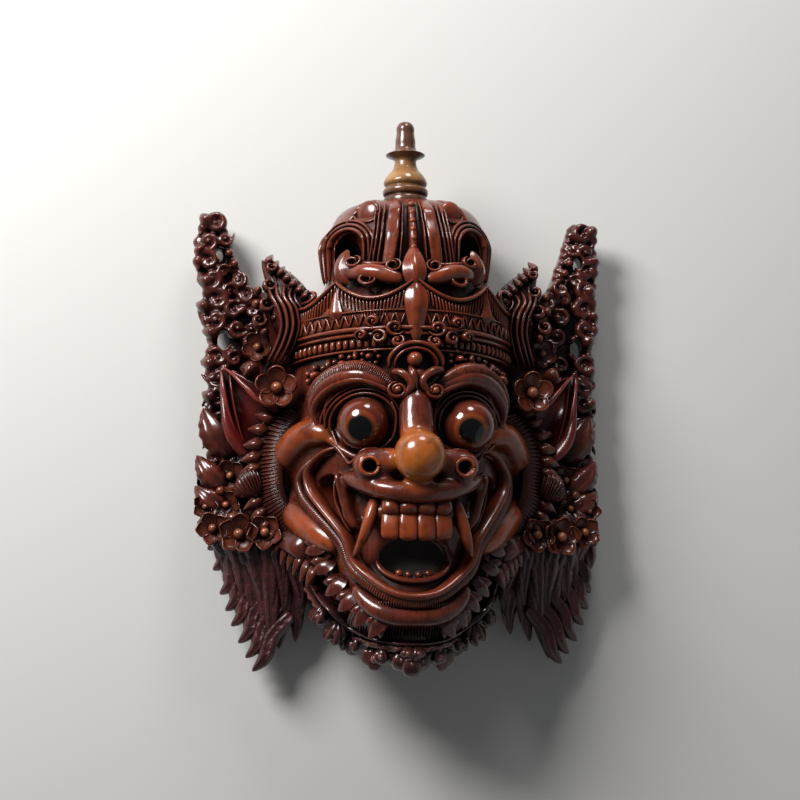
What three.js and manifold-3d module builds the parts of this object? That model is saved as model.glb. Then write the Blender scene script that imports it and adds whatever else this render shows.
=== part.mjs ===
// A barong mask: a demon's face with a crown, openwork side wings, animal ears, hair tufts and
// a garland under the chin, carved from one block of hardwood and hollowed out behind.
// It lies on the flat rim of its back, face up: +X to the onlooker's right, +Y to the crown's
// tip, +Z out of the face. Units are millimetres.
import * as THREE from "three";
import { mergeVertices } from "three/addons/utils/BufferGeometryUtils.js";
import Module from "manifold-3d";

const wasm = await Module();
wasm.setup();

// The block that the mask is carved from.
const blockWidth = 304;
const blockHeight = 398;
const blockDepth = 152;

// The hollow behind the face, and the openings that run through into it.
const wall = 14;
const mouthWidth = 46;
const mouthHeight = 30;
const windowWidth = 15;
const windowHeight = 27;
const nostrilRadius = 4.4;
const pierceRadius = 4;

// The carved features, each with its own size.
const eyeRadius = 18.5;
const lidThickness = 6;
const noseRadius = 17.5;
const browWidth = 15;
const lipThickness = 15;
const ribbonWidth = 10;
const cheekWidth = 23;
const toothWidth = 10.8;
const toothLength = 21;
const fangWidth = 8.4;
const finialRadius = 16;
const flowerRadius = 15;
const earWidth = 50;
const plateThickness = 14;
const plateBack = 9;
const lockDepth = 26;
const strapWidth = 7;
const pendantWidth = 14;
const tiaraThickness = 6;
const railThickness = 4;

// The carver's pattern is drawn for a block of 304 x 398 x 152 and spread over the block in use.
const across = blockWidth / 304;
const along = blockHeight / 398;
const deep = blockDepth / 152;
const spot = (x, y, z) => new THREE.Vector3(x * across, y * along, z * deep);

// The head without its features: at each height, half its width, how far its front stands out
// from the back plane, and the level at which it is widest. Its section is an ellipse there.
const headRows = [
  [-183, 0, 0, 0],
  [-175, 36, 76, 0],
  [-157, 57, 108, 0],
  [-125, 68, 107, 0],
  [-85, 82, 104, 0],
  [-50, 88, 103, 0],
  [-10, 85, 107, 0],
  [30, 81, 111, 0],
  [56, 78, 109, 0],
  [76, 59.5, 102, 42],
  [103, 59.5, 101, 42],
  [128, 52, 90, 36],
  [137, 38, 72, 30],
  [140, 0, 50, 50],
];

// The crown leans this much to the onlooker's right of the face.
const crownLean = 4;
const leanAt = (y) => crownLean * THREE.MathUtils.smoothstep(y, 56, 76);

function headSize(y) {
  const next = Math.max(1, headRows.findIndex((row) => row[0] >= y));
  const [low, high] = [headRows[next - 1], headRows[next]];
  const share = (y - low[0]) / (high[0] - low[0]);
  return [1, 2, 3].map((i) => Math.max(low[i] + (high[i] - low[i]) * share, i < 3 ? 1 : 0));
}

// The way the head faces at a point of its front.
function headNormal(point) {
  const y = point.y / along;
  const [halfWidth, depth, middle] = headSize(y);
  return new THREE.Vector3(
    (point.x / across - leanAt(y)) / halfWidth ** 2,
    0,
    (point.z / deep - middle) / (depth - middle) ** 2,
  ).normalize();
}

// The point of the head's front at (x, y) of the pattern, stood off along its normal.
function onHead(x, y, off = 0) {
  const [halfWidth, depth, middle] = headSize(y);
  const sideways = THREE.MathUtils.clamp((x - leanAt(y)) / halfWidth, -0.99, 0.99);
  const point = spot(x, y, middle + (depth - middle) * Math.sqrt(1 - sideways * sideways));
  return point.addScaledVector(headNormal(point), off);
}

const forward = () => new THREE.Vector3(0, 0, 1);
const bothSides = (make) => [-1, 1].flatMap(make);

// A line over the whole face from the points of its left half, which ends on the middle.
const mirrored = (half) => [
  ...half.map(([x, y, off]) => onHead(-x, y, off)),
  ...half.slice(0, -1).reverse().map(([x, y, off]) => onHead(x, y, off)),
];

// A closed geometry as a solid, with its faces turned out.
function solid(geometry) {
  geometry.deleteAttribute("normal");
  geometry.deleteAttribute("uv");
  const merged = mergeVertices(geometry, 1e-4);
  const vertProperties = new Float32Array(merged.attributes.position.array);
  const triVerts = new Uint32Array(merged.index.array);
  const made = new wasm.Manifold(new wasm.Mesh({ numProp: 3, vertProperties, triVerts }));
  if (made.volume() > 0) return made;
  for (let i = 0; i < triVerts.length; i += 3) {
    [triVerts[i + 1], triVerts[i + 2]] = [triVerts[i + 2], triVerts[i + 1]];
  }
  return new wasm.Manifold(new wasm.Mesh({ numProp: 3, vertProperties, triVerts }));
}

const joined = (solids) =>
  solids.flat(Infinity).reduce((whole, piece) => whole.add(piece));

// How a carved stroke swells from its start, at 0, to its end, at 1.
const blunt = (t) => Math.sqrt(1 - Math.abs(2 * t - 1) ** 4);
const leafy = (t) => Math.sin(Math.PI * t ** 0.75);
const tapering = (t) => Math.sqrt(1 - (1 - Math.min(t * 5, 1)) ** 2) * (1 - t) ** 0.6;

// A stroke: a ball drawn out along a line, wide across the surface and high off it.
function stroke(points, width, height, swell, sides, steps, outward = headNormal) {
  const line = new THREE.CatmullRomCurve3(points);
  const ball = new THREE.SphereGeometry(1, sides, steps);
  const place = ball.attributes.position;
  const vertex = new THREE.Vector3();
  for (let i = 0; i < place.count; i++) {
    vertex.fromBufferAttribute(place, i);
    const t = Math.acos(THREE.MathUtils.clamp(vertex.y, -1, 1)) / Math.PI;
    const ring = Math.hypot(vertex.x, vertex.z);
    const centre = line.getPoint(t);
    const up = outward(centre);
    const sideways = new THREE.Vector3().crossVectors(line.getTangent(t), up).normalize();
    if (ring > 1e-5) {
      centre.addScaledVector(sideways, (vertex.x / ring) * (width / 2) * swell(t));
      centre.addScaledVector(up, (vertex.z / ring) * (height / 2) * swell(t));
    }
    place.setXYZ(i, centre.x, centre.y, centre.z);
  }
  return solid(ball);
}

// A ball or a button: a sphere squashed along the way it faces.
function button(centre, radius, height, sides, steps, outward = headNormal) {
  const ball = new THREE.SphereGeometry(1, sides, steps);
  const up = new THREE.Vector3(0, 1, 0);
  ball.scale(radius, height, radius);
  ball.applyQuaternion(new THREE.Quaternion().setFromUnitVectors(up, outward(centre)));
  ball.translate(centre.x, centre.y, centre.z);
  return solid(ball);
}

// A flower: five petals about a raised middle.
function flower(x, y, z, radius, facets) {
  const petals = 5;
  const ball = new THREE.SphereGeometry(1, facets, 3);
  const place = ball.attributes.position;
  const centre = spot(x, y, z);
  for (let i = 0; i < place.count; i++) {
    const angle = Math.atan2(place.getZ(i), place.getX(i));
    const level = Math.round((1 - place.getY(i)) * 2);
    const petal = 0.66 + 0.34 * Math.abs(Math.cos((petals * angle) / 2)) ** 0.7;
    const [reach, rise] = [[0, 0.5], [0.3, 0.3], [0.3, 0.3], [petal, 0.15], [0, -1]][level];
    place.setXYZ(
      i,
      centre.x + Math.cos(angle) * radius * reach,
      centre.y + Math.sin(angle) * radius * reach,
      centre.z + radius * rise,
    );
  }
  return solid(ball);
}

// A slab bent and cut to shape: shapedBy gives the point for each share of its length and
// width, on its front or its back.
function slab(steps, rows, shapedBy) {
  const box = new THREE.BoxGeometry(1, 1, 1, steps, rows, 1);
  const place = box.attributes.position;
  for (let i = 0; i < place.count; i++) {
    const point = shapedBy(place.getX(i) + 0.5, place.getY(i) + 0.5, place.getZ(i) > 0);
    place.setXYZ(i, point.x, point.y, point.z);
  }
  return solid(box);
}

// The head as a solid, or as its hollow when it is drawn in by the wall.
function headBlock(drawnIn, sides) {
  const rows = headRows.length - 1;
  const backOfSection = 48;
  const middleHeight = (headRows[0][0] + headRows[rows][0]) / 2;
  const halfHeight = headRows[rows][0] - middleHeight;
  const ball = new THREE.SphereGeometry(1, sides, rows);
  const place = ball.attributes.position;
  for (let i = 0; i < place.count; i++) {
    const polar = Math.acos(THREE.MathUtils.clamp(-place.getY(i), -1, 1)) / Math.PI;
    const [y, halfWidth, depth, middle] = headRows[Math.round(polar * rows)];
    const angle = Math.atan2(place.getZ(i), place.getX(i));
    const reach = Math.sin(angle) > 0 ? depth - middle : middle + backOfSection;
    const open = halfWidth > 0 ? 1 : 0;
    const inward = ((y - middleHeight) / halfHeight) * drawnIn;
    const point = spot(leanAt(y), y, middle);
    point.x += Math.cos(angle) * Math.max(halfWidth * across - drawnIn, 0) * open;
    point.y -= inward;
    point.z += Math.sin(angle) * Math.max(reach * deep - drawnIn, 0) * open;
    place.setXYZ(i, point.x, point.y, point.z);
  }
  return solid(ball);
}

// The tiara: a scalloped wall in front of the dome, over a band with a rail on each edge.
const tiaraFoot = 33;
const tiaraEnd = 1.3;
const scallops = 2;
const scallopTop = (angle) =>
  56 + 14 * Math.abs(Math.cos((scallops * Math.PI * angle) / tiaraEnd)) ** 1.5;

// A strip laid round the front of the head, up from one height to another.
function headStrip(lowEdge, highEdge, thickness, steps) {
  const [halfWidth, depth] = headSize(tiaraFoot);
  return slab(steps, 1, (share, height, front) => {
    const angle = (share * 2 - 1) * tiaraEnd;
    const point = spot(halfWidth * Math.sin(angle), 0, depth * Math.cos(angle));
    const lift = front ? thickness : -thickness;
    point.y = (height > 0.5 ? highEdge(angle) : lowEdge) * along;
    point.x += lift * Math.sin(angle);
    point.z += lift * Math.cos(angle);
    return point;
  });
}

function tiara() {
  return [
    headStrip(tiaraFoot - 2, scallopTop, tiaraThickness, 16),
    headStrip(tiaraFoot - 13, () => tiaraFoot, railThickness, 10),
    stroke([onHead(0, 66, 7), onHead(0, 42, 9), onHead(0, 20, 7)], 19, 9, leafy, 4, 5),
    bothSides((side) =>
      stroke([onHead(side * 45, 67, 5), onHead(side * 45, 54, 6), onHead(side * 45, 40, 5)],
        13, 12, leafy, 4, 3)),
  ];
}

// The dome of the crown: upright ribs, arched window frames, rolls and leaves at its foot.
const windowX = 42;
const windowY = 95;

function dome() {
  const rib = (x, footX, width) => {
    const line = [0, 0.35, 0.7, 1].map((t) =>
      onHead(footX + (x - footX) * t, 72 + 62 * t, 1.5));
    return stroke(line, width, 10, blunt, 5, 5);
  };
  const arch = [[-1, -0.55], [-1, 0.1], [-0.65, 0.6], [0, 0.75], [0.65, 0.6], [1, 0.1], [1, -0.55]];
  return [
    rib(0, 0, 10), rib(-9, -17, 9), rib(9, 17, 9),
    bothSides((side) => [
      stroke(
        arch.map(([u, v]) => onHead(
          side * windowX + (u * (windowWidth / 2 + 2.5)) / across,
          windowY + (v * windowHeight * 0.9) / along,
          2,
        )),
        5, 8, blunt, 4, 7,
      ),
      stroke([onHead(side * 38, 78, 6), onHead(side * 22, 75, 7), onHead(side * 6, 70, 7)],
        12, 10, blunt, 6, 4),
      stroke([onHead(side * 40, 70, 3), onHead(side * 43, 84, 4), onHead(side * 42, 94, 2)],
        12, 12, leafy, 4, 4),
    ]),
  ];
}

// The spire on the crown: a turned bell, a flange and a bullet tip, in shares of its size.
function finial() {
  const foot = 132;
  const tip = 196;
  const turned = [
    [0, 0], [1, 0], [1, 0.14], [0.92, 0.2], [0.96, 0.27], [0.7, 0.38], [0.5, 0.48],
    [0.48, 0.56], [0.8, 0.6], [0.46, 0.66], [0.4, 0.9], [0.22, 0.99], [0, 1],
  ];
  const rise = (tip - foot) * along;
  const profile = turned.map(([r, y]) => new THREE.Vector2(r * finialRadius, y * rise));
  const spire = new THREE.LatheGeometry(profile, 10);
  const place = spot(0, foot, 62);
  spire.translate(place.x, place.y, place.z);
  return solid(spire);
}

// The upper face: brows with their volutes, eyes under lids, and the boss between the brows.
const eyeX = 35;
const eyeY = -30;

function upperFace() {
  const arch = [[-15, 8], [-12, 18], [0, 23], [12, 18], [15, 8]];
  const brow = [
    [12, -9, 3], [21, -3, 4], [31, 2, 5], [41, 2, 5], [51, -2, 4], [58, -9, 3], [61, -18, 2],
    [59, -28, 1],
  ];
  const bag = [[55, -36, 1], [45, -47, 2], [34, -53, 3], [24, -49, 4], [16, -44, 4]];
  const aroundEye = (degrees, reach) => {
    const angle = THREE.MathUtils.degToRad(degrees);
    return [eyeX + (Math.cos(angle) * reach) / across, eyeY + (Math.sin(angle) * reach) / along];
  };
  const lid = [190, 160, 130, 90, 50, 20, -10].map((degrees) =>
    aroundEye(degrees, eyeRadius + lidThickness * 0.4));
  return [
    stroke(arch.map(([x, y]) => onHead(x, y, 7)), 6, 9, blunt, 4, 6),
    button(onHead(0, 12, 6), 7, 8, 6, 4),
    stroke([onHead(0, 8, 8), onHead(0, 0, 11), onHead(0, -12, 12)], 16, 9, leafy, 4, 4),
    bothSides((side) => [
      stroke(brow.map(([x, y, off]) => onHead(side * x, y, off)), browWidth, 23, blunt, 6, 10),
      button(onHead(side * eyeX, eyeY, 5), eyeRadius, eyeRadius, 10, 7),
      stroke(lid.map(([x, y]) => onHead(side * x, y, 3)), lidThickness, 12, blunt, 4, 7),
      stroke(bag.map(([x, y, off]) => onHead(side * x, y, off)), 8, 12, blunt, 4, 5),
    ]),
  ];
}

// The nose: a bridge, a round tip and flared nostrils.
const noseY = -55;
const nostrilCentre = (side) => onHead(side * 25, -59, 17);

function nose() {
  return [
    stroke([onHead(0, -8, 8), onHead(0, -25, 11), onHead(0, -42, 18), onHead(0, noseY, 26)],
      noseRadius * 1.4, 22, blunt, 5, 5),
    button(onHead(0, noseY, 31), noseRadius, noseRadius, 12, 8),
    bothSides((side) =>
      stroke([onHead(side * 8, -61, 20), nostrilCentre(side), onHead(side * 35, -59, 5)],
        19, 20, blunt, 6, 4)),
  ];
}

// The mouth: lips drawn wide, gum, teeth and fangs, and the long ribbon of the lower lip.
const mouthY = -121;

function mouth() {
  const lip = [[45, -64, 5], [30, -71, 12], [15, -77, 19], [0, -79, 21]];
  const ribbon = [
    [61, -53, 3], [69, -57, 3], [74, -65, 3], [71, -76, 4], [61, -88, 5], [50, -99, 6],
    [42, -110, 6], [36, -125, 6], [26, -136, 6], [13, -146, 6], [0, -149, 6],
  ];
  const fold = [[46, -64, 5], [43, -78, 4], [40, -92, 3], [35, -102, 2]];
  const cheek = [
    [52, -37, 2], [66, -33, 2], [77, -42, 2], [82, -56, 2], [80, -74, 2], [71, -90, 2],
    [58, -103, 2], [46, -113, 2],
  ];
  return [
    stroke(mirrored(lip), lipThickness, 20, blunt, 5, 8),
    stroke(mirrored(ribbon), ribbonWidth, 14, blunt, 4, 18),
    stroke(mirrored([[36, -138, 3], [28, -150, 3], [16, -158, 3], [0, -160, 3]]),
      14, 18, blunt, 4, 8),
    stroke([-31, 0, 31].map((x) => onHead(x, -91, 5)), 17, 27, blunt, 6, 6),
    bothSides((side) => [
      stroke(fold.map(([x, y, off]) => onHead(side * x, y, off)), 9, 13, blunt, 4, 4),
      stroke(cheek.map(([x, y, off]) => onHead(side * x, y, off)), cheekWidth, 24, blunt, 5, 8),
    ]),
  ];
}

// The hollow between cheek and mouth on each side.
const cheekHollow = (side) =>
  stroke([onHead(side * 58, -66, 3), onHead(side * 55, -82, 3), onHead(side * 46, -97, 3)],
    19, 34, blunt, 6, 4);

function teeth() {
  const top = -93;
  const middle = top - toothLength / along / 2;
  const bottom = top - toothLength / along;
  return [
    [-1.59, -0.53, 0.53, 1.59].map((share) => {
      const x = (share * toothWidth) / across;
      return stroke([onHead(x, top, 14), onHead(x, middle, 15), onHead(x, bottom, 14)],
        toothWidth, 10, blunt, 6, 4);
    }),
    bothSides((side) =>
      stroke([onHead(side * 25, -84, 8), onHead(side * 28, -102, 14), onHead(side * 35, -121, 8)],
        fangWidth, 14, tapering, 5, 5)),
  ];
}

// A collar of pointed leaves round the cheeks and the jaw, and the short beard under the chin.
const collarLeaves = 9;

function ruff() {
  const frame = new THREE.CatmullRomCurve3([
    spot(80, -14, 0), spot(87, -45, 0), spot(82, -78, 0), spot(66, -103, 0), spot(54, -124, 0),
    spot(44, -138, 0), spot(24, -157, 0),
  ]);
  const collar = (side) => slab(collarLeaves * 2, 1, (share, out, front) => {
    const foot = frame.getPoint(share);
    const run = frame.getTangent(share);
    const point = onHead((side * foot.x) / across * 0.9, foot.y / along, -7);
    const isTip = Math.round(share * collarLeaves * 2) % 2 === 1;
    const reach = out < 0.5 ? 0 : isTip ? 25 : 11;
    const away = new THREE.Vector3(-run.y * side, run.x, 0).multiplyScalar(reach);
    point.add(away);
    point.y += isTip && out > 0.5 ? run.y * 6 : 0;
    point.z += front ? 8 : -2;
    return point;
  });
  return [
    bothSides(collar),
    [-15, 0, 15].map((x) =>
      stroke([onHead(x, -158, 0), onHead(x * 1.1, -168, 4), onHead(x * 1.2, -178, 9)],
        15, 10, tapering, 4, 3)),
  ];
}

// The side plate: wing, flower ground and hair ground in one, with leaf points on its edge.
function sidePlate(side) {
  const inner = [[40, -60], [40, 20], [60, 62], [86, 84], [103, 76], [113, 82], [112, 90]];
  const low = side > 0 ? 6 : 0;
  const outer = [
    [118, 98, 121, 105], [126, 124, 132, 137], [140, 126, 145, 123], [145, 114, 152, 110],
    [147, 99, 151, 94], [139, 82, 143, 77], [137, 71, 146, 67], [138, 57, 145, 52],
    [133, 43, 141, 33], [135, 24, 141, 17], [133, 5, 141, -5], [134, -15, 141, -22],
    [132, -34, 139, -46], [134, -58, 141, -68], [135, -80, 142, -92],
  ].map(([x, y, tipX, tipY]) => (y > 80 ? [x, y, tipX, tipY] : [x + low, y, tipX + low, tipY]));
  const edge = [
    ...inner,
    ...outer.flatMap(([x, y, tipX, tipY]) => [[x, y], [tipX, tipY]]),
    [130 + low, -108], [98, -114], [58, -112],
  ];
  const outline = new THREE.Shape(edge.map(([x, y]) => new THREE.Vector2(side * x, y)));
  const plate = new THREE.ExtrudeGeometry(outline, {
    depth: plateThickness,
    bevelEnabled: false,
  });
  plate.scale(across, along, 1);
  plate.translate(0, 0, plateBack);
  return solid(plate);
}

// Each side: plate, wing scrolls, ear, flowers and the ribbed leaf beside the crown.
function sideCarving(side) {
  const at = (points) => points.map((p) => spot(side * p[0], p[1], p[2]));
  const front = plateBack + plateThickness;
  const scrolls = [
    [133, 134, 144, 112, 140, 92, 14], [140, 88, 130, 78, 118, 80, 13],
    [138, 70, 126, 60, 118, 36, 15], [136, 26, 130, 0, 131, -26, 13],
    [134, -34, 124, -44, 112, -42, 13],
  ];
  return [
    sidePlate(side),
    scrolls.map(([x0, y0, x1, y1, x2, y2, width]) =>
      stroke(at([[x0, y0, front], [x1, y1, front], [x2, y2, front]]), width, width * 1.1,
        leafy, 4, 3, forward)),
    stroke(at([[70, 26, 44], [76, 50, 46], [86, 76, 44], [101, 97, 38]]), 34, 46,
      leafy, 6, 6, forward),
    [[94, 20], [86, 26]].map(([x, y]) =>
      stroke(at([[x, y, 34], [x - 1, y + 20, 48], [x - 7, y + 40, 54]]), 9, 36, blunt, 4, 4,
        forward)),
    stroke(at([[82, -46, 32], [99, -28, 42], [113, -6, 40], [129, 20, 30]]), earWidth, 26,
      leafy, 6, 5, forward),
    stroke(at([[82, -2, 20], [88, -1, 40], [91, 0, 66]]), 18, 18, blunt, 5, 3),
    flower(side * 91, 0, 62, flowerRadius, 20),
    [[103, 33, 36, 0.75], [104, -77, 34, 1], [125, -86, 28, 0.7], [121, -60, 28, 0.7]].map(
      ([x, y, z, size]) => flower(side * x, y, z, flowerRadius * size, 10)),
  ];
}

// The holes pierced through a wing, from its top down.
function pierced(side) {
  return [[131, 100, 0.9], [127, 40, 1]].map(([x, y, size]) =>
    throughCut(side * x, y, pierceRadius * 2 * size, pierceRadius * 3.6 * size, -10, 60, 8));
}

// A tuft of long hair: a combed slab, ridged along each lock, whose locks end in points.
const locks = 7;

function hairTuft(side) {
  const roots = new THREE.CatmullRomCurve3([
    spot(58, -100, 46), spot(84, -96, 42), spot(108, -97, 38), spot(130, -92, 32),
  ]);
  const left = [[64, -148], [79, -176], [94, -200], [104, -187], [114, -165], [122, -143],
    [131, -112]];
  const right = [[70, -148], [88, -170], [109, -193], [121, -184], [132, -163], [139, -140],
    [145, -110]];
  const ends = side < 0 ? left : right;
  const tips = new THREE.CatmullRomCurve3(ends.map(([x, y], i) => spot(x, y, 42 - 2 * i)));
  return slab(locks * 2, 3, (share, height, front) => {
    const ridge = Math.round(share * locks * 2) % 2 === 1;
    const length = (1 - height) * (ridge ? 1 : 0.8);
    const point = roots.getPoint(share).lerp(tips.getPoint(share), length);
    point.x = side * (point.x + 5 * Math.sin(Math.PI * length));
    const body = lockDepth * (1 - 0.65 * length);
    point.z += front ? (ridge ? 3 : -4) : -body;
    return point;
  });
}

// The strap under the jaw and the drops that hang from it.
function garland() {
  const strap = [[64, -118, 2], [61, -130, 3], [55, -143, 4], [44, -156, 5], [30, -166, 6],
    [15, -172, 7], [0, -174, 7]];
  const drops = [
    [52, -148, 59, -170], [40, -160, 46, -184], [27, -168, 30, -190], [12, -173, 13, -196],
  ];
  const drop = (x, y, tipX, tipY) => {
    const root = onHead(x, y, -2);
    const tip = root.clone().add(spot(tipX - x, tipY - y, -4));
    return stroke([root, root.clone().lerp(tip, 0.5), tip], pendantWidth, pendantWidth * 1.3,
      leafy, 4, 3);
  };
  const middle = onHead(0, -172);
  return [
    stroke(mirrored(strap), strapWidth, 10, blunt, 4, 14),
    bothSides((side) => drops.map(([x, y, tipX, tipY]) => drop(side * x, y, side * tipX, tipY))),
    stroke([middle, middle.clone().add(spot(0, -15, 0)), middle.clone().add(spot(0, -30, 0))],
      15, 15, leafy, 5, 4),
  ];
}

// A round cutter that runs along Z through the front wall.
function throughCut(x, y, width, tall, fromZ, toZ, sides) {
  const cutter = new THREE.CylinderGeometry(1, 1, 1, sides);
  cutter.rotateX(Math.PI / 2);
  cutter.scale(width / 2, tall / 2, (toZ - fromZ) * deep);
  const centre = spot(x, y, (fromZ + toZ) / 2);
  cutter.translate(centre.x, centre.y, centre.z);
  return solid(cutter);
}

function carve() {
  const outside = joined([
    headBlock(0, 18), tiara(), dome(), finial(), upperFace(), nose(), mouth(), ruff(),
    garland(), bothSides((side) => [sideCarving(side), hairTuft(side)]),
  ]);
  const behind = new THREE.BoxGeometry(blockWidth * 2, blockHeight * 2, blockDepth * 2);
  behind.translate(0, 0, -blockDepth);
  const cuts = joined([
    solid(behind),
    headBlock(wall, 14),
    throughCut(0, mouthY, mouthWidth, mouthHeight, 60, 140, 14),
    bothSides((side) => [
      throughCut(side * windowX, windowY, windowWidth, windowHeight, 30, 130, 10),
      pierced(side),
      cheekHollow(side),
      button(nostrilCentre(side).add(spot(side * 2, -1, 11)), nostrilRadius, 9, 6, 4),
    ]),
  ]);
  return joined([outside.subtract(cuts), teeth()]);
}

// The solid's surface without the sealed pockets that joining left between its pieces: of the
// shells that share no corner, the one that reaches furthest.
function outerShell(made) {
  const { vertProperties, triVerts } = made.getMesh();
  const home = Array.from({ length: vertProperties.length / 3 }, (_, i) => i);
  const find = (i) => {
    while (home[i] !== i) i = home[i] = home[home[i]];
    return i;
  };
  for (let i = 0; i < triVerts.length; i += 3) {
    home[find(triVerts[i + 1])] = find(triVerts[i]);
    home[find(triVerts[i + 2])] = find(triVerts[i]);
  }
  const highest = home.reduce((top, _, i) =>
    (vertProperties[i * 3 + 1] > vertProperties[top * 3 + 1] ? i : top), 0);
  const kept = triVerts.filter((vertex) => find(vertex) === find(highest));
  const geometry = new THREE.BufferGeometry();
  geometry.setAttribute("position", new THREE.BufferAttribute(vertProperties, 3));
  geometry.setIndex(new THREE.BufferAttribute(kept, 1));
  return mergeVertices(geometry.toNonIndexed(), 1e-4);
}

const lacqueredWood = new THREE.MeshStandardMaterial({
  color: 0x5a2413,
  roughness: 0.32,
  metalness: 0,
});

const mask = new THREE.Mesh(outerShell(carve()), lacqueredWood);
mask.name = "mask";

const part = new THREE.Group();
part.add(mask);

export default part;
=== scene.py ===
import math

import bmesh
import bpy
from mathutils import Matrix, Vector


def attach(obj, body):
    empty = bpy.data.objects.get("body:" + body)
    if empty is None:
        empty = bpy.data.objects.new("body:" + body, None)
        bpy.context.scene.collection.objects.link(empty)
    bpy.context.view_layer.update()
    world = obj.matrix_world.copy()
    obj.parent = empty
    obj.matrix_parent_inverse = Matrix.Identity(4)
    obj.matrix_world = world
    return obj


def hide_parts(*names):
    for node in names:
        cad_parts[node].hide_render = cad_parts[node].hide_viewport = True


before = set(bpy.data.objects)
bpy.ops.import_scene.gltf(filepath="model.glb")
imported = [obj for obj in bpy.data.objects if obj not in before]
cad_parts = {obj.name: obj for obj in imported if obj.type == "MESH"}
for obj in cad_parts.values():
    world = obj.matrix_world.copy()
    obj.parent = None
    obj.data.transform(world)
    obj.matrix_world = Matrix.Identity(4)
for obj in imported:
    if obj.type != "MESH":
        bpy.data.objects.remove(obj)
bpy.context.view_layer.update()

# The head: one block of hardwood, sawn flat behind, with the face's large forms carved in the
# round and the back gouged out to a wall of 14 mm. The carver's pattern is in millimetres.
MM = 0.001
wall = 14
head_rows = [
    Vector(row) for row in (
        (-183, 0, 0, 0), (-175, 36, 76, 0), (-157, 57, 108, 0), (-125, 68, 107, 0),
        (-85, 82, 104, 0), (-50, 88, 103, 0), (-10, 85, 107, 0), (30, 81, 111, 0),
        (56, 78, 109, 0), (76, 59.5, 102, 42), (103, 59.5, 101, 42), (128, 52, 90, 36),
        (137, 38, 72, 30), (140, 0, 50, 50),
    )
]
crown_lean = 4
back_of_section = 48
gouging_voxel = 1.4
sanded_voxel = 1.82
rim_sanded_flat = 0.9


def lean_at(y):
    rise = min(max((y - 56) / 20, 0), 1)
    return crown_lean * rise * rise * (3 - 2 * rise)


def head_size(y):
    upper = next((i for i, row in enumerate(head_rows) if row[0] >= y), len(head_rows) - 1)
    upper = max(1, upper)
    low, high = head_rows[upper - 1], head_rows[upper]
    size = low.lerp(high, (y - low[0]) / (high[0] - low[0]))
    return max(size[1], 1), max(size[2], 1), max(size[3], 0)


def head_normal(point):
    half_width, depth, middle = head_size(point.y)
    across = (point.x - lean_at(point.y)) / half_width ** 2
    return Vector((across, 0, (point.z - middle) / (depth - middle) ** 2)).normalized()


def on_head(x, y, off=0.0):
    half_width, depth, middle = head_size(y)
    across = min(max((x - lean_at(y)) / half_width, -0.99), 0.99)
    point = Vector((x, y, middle + (depth - middle) * math.sqrt(1 - across * across)))
    return point + head_normal(point) * off


def line_point(points, share):
    last = len(points) - 1
    place = min(max(share, 0), 1) * last
    start = min(int(place), last - 1)
    part = place - start
    before, here = points[max(start - 1, 0)], points[start]
    then, after = points[start + 1], points[min(start + 2, last)]
    return 0.5 * (
        2 * here + (then - before) * part
        + (2 * before - 5 * here + 4 * then - after) * part ** 2
        + (3 * here - before - 3 * then + after) * part ** 3
    )


def blunt(share):
    return math.sqrt(max(1 - abs(2 * share - 1) ** 4, 0))


def leafy(share):
    return math.sin(math.pi * share ** 0.75)


def new_carving():
    """An empty piece of carving, with notes of how rubbed a spot is and how its strands run."""
    bm = bmesh.new()
    bm.verts.layers.float.new("rubbed")
    bm.verts.layers.float_vector.new("strand")
    return bm


joint = bpy.data.meshes.new("joint")


def join_ball(bm, ball, rubbed):
    """Adds a ball that was shaped by itself to the rest of its piece."""
    note = ball.verts.layers.float["rubbed"]
    for vert in ball.verts:
        vert[note] = rubbed
    ball.to_mesh(joint)
    ball.free()
    bm.from_mesh(joint, face_normals=False, vertex_normals=False)


def stroke(bm, points, width, height, swell=blunt, around=14, rings=28, outward=head_normal,
           rubbed=0.0, cut=None):
    """A ball drawn out along a line, wide across the surface and high off it."""
    ball = new_carving()
    bmesh.ops.create_uvsphere(ball, u_segments=around, v_segments=rings, radius=1)
    strand = ball.verts.layers.float_vector["strand"]
    length = sum((b - a).length for a, b in zip(points, points[1:]))
    sections = {}
    for vert in ball.verts:
        share = math.acos(min(max(-vert.co.z, -1), 1)) / math.pi
        ring = round(share * rings)
        if ring not in sections:
            centre = line_point(points, share)
            run = line_point(points, share + 0.01) - line_point(points, share - 0.01)
            up = outward(centre)
            sections[ring] = centre, run.cross(up).normalized(), up, swell(ring / rings)
        centre, sideways, up, size = sections[ring]
        angle = math.atan2(vert.co.y, vert.co.x)
        if ring in (0, rings):
            size = 0
        wide, high = math.cos(angle), math.sin(angle)
        if cut:
            wide, high = cut(ring / rings, wide, high)
        vert.co = centre + sideways * (wide * width / 2 * size) + up * (high * height / 2 * size)
        vert[strand] = wide * width / 2, share * length, len(bm.verts) % 89
    join_ball(bm, ball, rubbed)


def button(bm, centre, radius, height, around=16, rings=12, outward=head_normal, rubbed=0.0):
    """A ball, or a button squashed along the way that it faces."""
    ball = new_carving()
    turn = outward(centre).to_track_quat("Z", "Y").to_matrix().to_4x4()
    place = Matrix.Translation(centre) @ turn @ Matrix.Diagonal((radius, radius, height, 1))
    bmesh.ops.create_uvsphere(ball, u_segments=around, v_segments=rings, radius=1, matrix=place)
    join_ball(bm, ball, rubbed)


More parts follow.
